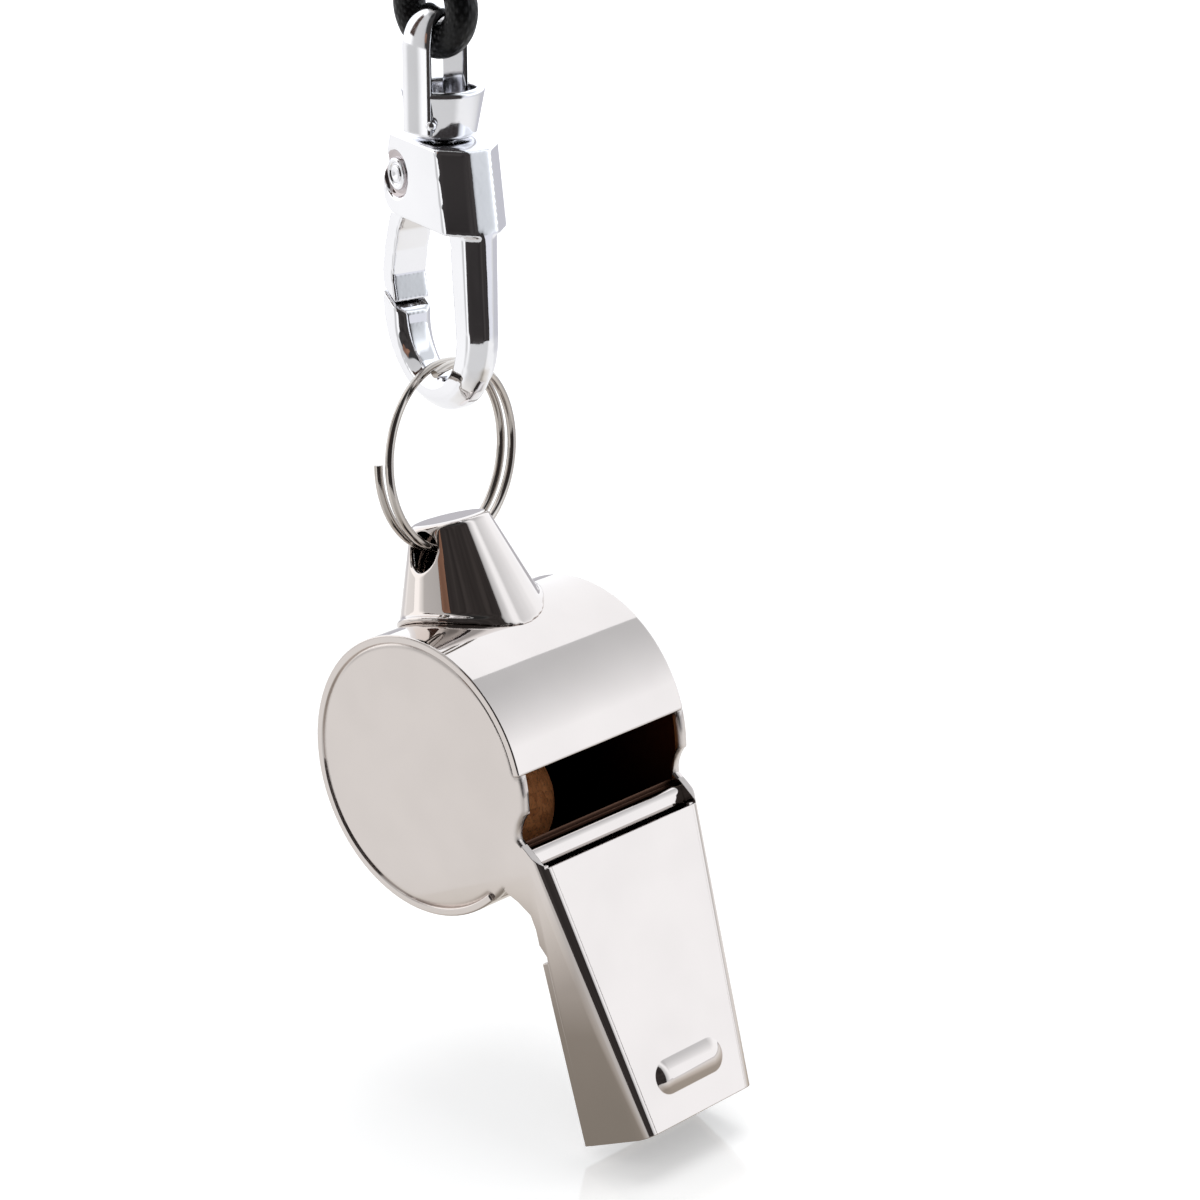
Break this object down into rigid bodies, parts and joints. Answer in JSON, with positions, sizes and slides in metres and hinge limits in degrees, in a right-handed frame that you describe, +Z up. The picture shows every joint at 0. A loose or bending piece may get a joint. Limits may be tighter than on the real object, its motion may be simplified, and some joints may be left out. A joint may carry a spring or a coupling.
{
  "type": "sports whistle",
  "caption": "Metal pea whistle with a tapered mouthpiece and a square window, hung by a split ring and a swivelling snap hook on a short cord lanyard with a loop.",
  "frame": {"origin": "the middle of the bearing point under the top of the cord's upper loop, where the lanyard hangs on a hook or a finger", "axes": "+Z up along the hanging chain; X and Z span the plane of the cord's loops, with the mouthpiece hanging toward +X; Y is along the whistle barrel's axis, with the pictured cheek on the -Y side"},
  "size_m": [0.0351, 0.019, 0.1108],
  "materials": {
    "nickel": "polished nickel plate on folded brass sheet",
    "clasp_chrome": "bright chrome plate on a die-cast hook",
    "steel": "polished plated steel wire and pins",
    "cork": "bare ground cork",
    "cord": "smooth black braided cord with a slight gloss"
  },
  "bodies": {
    "lanyard": {"lanyard_cord": "cord", "lanyard_loop": "cord", "cord_ferrule": "steel"},
    "eye": {"swivel_eye": "clasp_chrome", "swivel_rivet": "steel"},
    "clasp": {"clasp_body": "clasp_chrome", "gate_rivet": "steel", "gate_spring": "steel"},
    "gate": {"clasp_gate": "clasp_chrome"},
    "ring": {"split_ring": "steel"},
    "whistle": {"body_shell": "nickel", "barrel_band": "nickel", "windway_floor": "nickel", "lanyard_lug": "nickel"},
    "pea": {"cork_pea": "cork"}
  },
  "joints": [
    {"name": "eye_swing", "type": "hinge", "parent": "lanyard", "child": "eye", "pos_m": [0, 0, -0.0236], "axis": [1, 0, 0], "range_deg": [-25, 25]},
    {"name": "clasp_swivel", "type": "hinge", "parent": "eye", "child": "clasp", "pos_m": [0, 0.0007, -0.0305], "axis": [0, 0, 1], "continuous": true},
    {"name": "gate_hinge", "type": "hinge", "parent": "clasp", "child": "gate", "pos_m": [-0.0027, 0.00142, -0.0344], "axis": [-0.2588, -0.9659, 0], "range_deg": [0, 25], "stiffness_Nm_per_rad": 0.002, "springref_deg": -20.05, "deforming": ["gate_spring"]},
    {"name": "ring_swing", "type": "hinge", "parent": "clasp", "child": "ring", "pos_m": [-0.0008, 0.0009, -0.0516], "axis": [0.9659, -0.2588, 0], "range_deg": [-60, 60]},
    {"name": "whistle_swing", "type": "hinge", "parent": "ring", "child": "whistle", "pos_m": [0.0005, 0.0007, -0.064], "axis": [0, 1, 0], "range_deg": [-45, 45]},
    {"name": "pea_roll", "type": "hinge", "parent": "whistle", "child": "pea", "pos_m": [0.00555, 0.0007, -0.07993], "axis": [0, 1, 0], "continuous": true}
  ]
}
